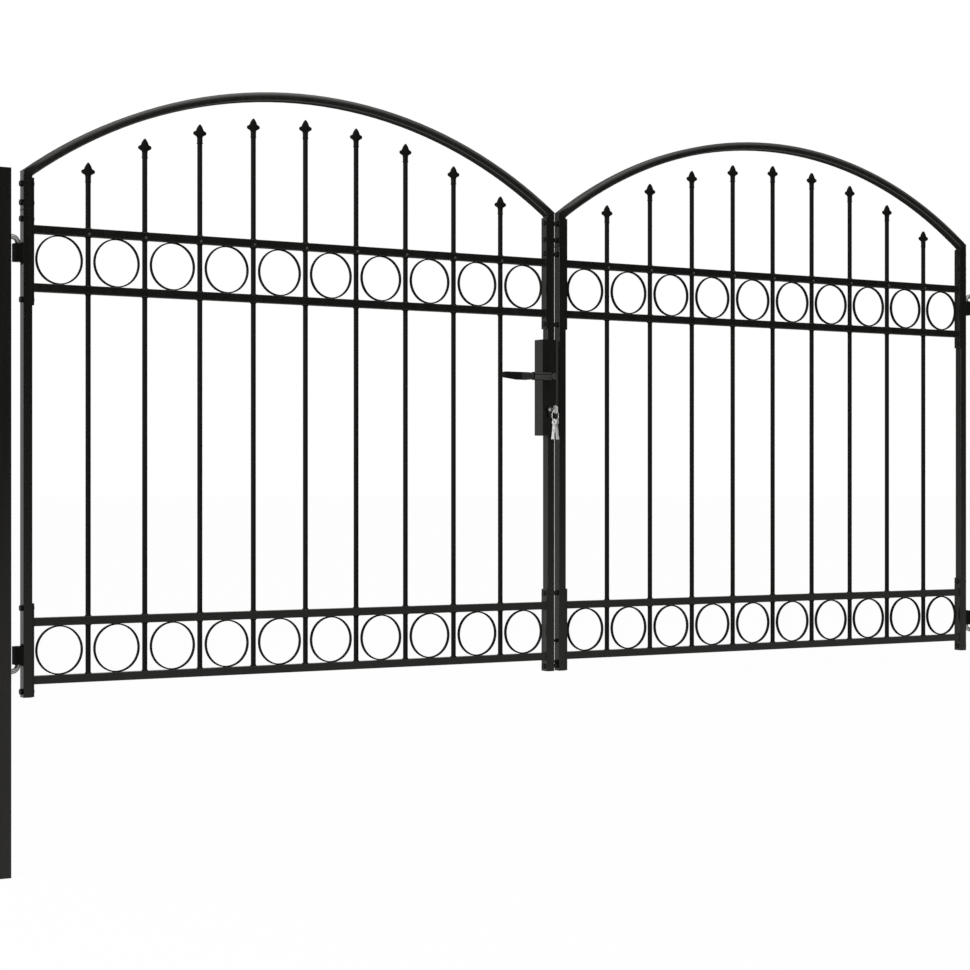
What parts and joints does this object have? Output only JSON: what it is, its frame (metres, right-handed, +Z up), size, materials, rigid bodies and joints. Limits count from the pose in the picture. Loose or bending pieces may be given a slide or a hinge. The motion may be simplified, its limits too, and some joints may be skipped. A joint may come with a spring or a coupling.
{
  "type": "double-leaf driveway gate",
  "caption": "Double-leaf driveway gate of black coated steel tube with arched tops, spear-headed bars, ring bands, hook-bolt hinges between square posts, and a lever lock with keys.",
  "frame": {"origin": "centre of the left post's foot", "axes": "+X along the gate from the left post to the right post, +Y to the back, +Z up"},
  "size_m": [3.1335, 0.0875, 1.8144],
  "materials": {
    "black_coat": "satin black powder coat",
    "zinc": "zinc plated",
    "lock_metal": "black plated",
    "key_metal": "nickel plated",
    "lever_black": "satin black"
  },
  "bodies": {
    "posts": {"left_post": "black_coat", "right_post": "black_coat", "left_post_cap": "black_coat", "right_post_cap": "black_coat", "left_hook_bolts": "zinc", "right_hook_bolts": "zinc"},
    "left_leaf": {"left_arch": "black_coat", "left_arch_legs": "black_coat", "left_hinge_stile": "black_coat", "left_meeting_stile": "black_coat", "left_upper_top_rail": "black_coat", "left_upper_bottom_rail": "black_coat", "left_lower_top_rail": "black_coat", "left_lower_bottom_rail": "black_coat", "left_bars": "black_coat", "left_spear_heads": "black_coat", "left_upper_rings": "black_coat", "left_lower_rings": "black_coat", "left_upper_end_plates": "black_coat", "left_lower_end_plates": "black_coat", "left_hinge_sleeves": "black_coat", "lock_case": "black_coat", "lock_cylinders": "lock_metal", "door_key": "key_metal", "key_ring": "key_metal", "loose_keys": "key_metal"},
    "right_leaf": {"right_arch": "black_coat", "right_arch_legs": "black_coat", "right_hinge_stile": "black_coat", "right_meeting_stile": "black_coat", "right_upper_top_rail": "black_coat", "right_upper_bottom_rail": "black_coat", "right_lower_top_rail": "black_coat", "right_lower_bottom_rail": "black_coat", "right_bars": "black_coat", "right_spear_heads": "black_coat", "right_upper_rings": "black_coat", "right_lower_rings": "black_coat", "right_upper_end_plates": "black_coat", "right_lower_end_plates": "black_coat", "right_hinge_sleeves": "black_coat"},
    "lever": {"front_lever": "lever_black", "back_rose": "lever_black", "lever_spindle": "zinc"}
  },
  "joints": [
    {"name": "left_leaf_swing", "type": "hinge", "parent": "posts", "child": "left_leaf", "pos_m": [0.0555, 0, 0.9], "axis": [0, 0, 1], "range_deg": [-90, 90]},
    {"name": "right_leaf_swing", "type": "hinge", "parent": "posts", "child": "right_leaf", "pos_m": [2.9625, 0, 0.9], "axis": [0, 0, -1], "range_deg": [-90, 90]},
    {"name": "lever_turn", "type": "hinge", "parent": "left_leaf", "child": "lever", "pos_m": [1.4745, 0, 1.153], "axis": [0, -1, 0], "range_deg": [0, 40], "stiffness_Nm_per_rad": 1.5, "springref_deg": -34.38}
  ]
}
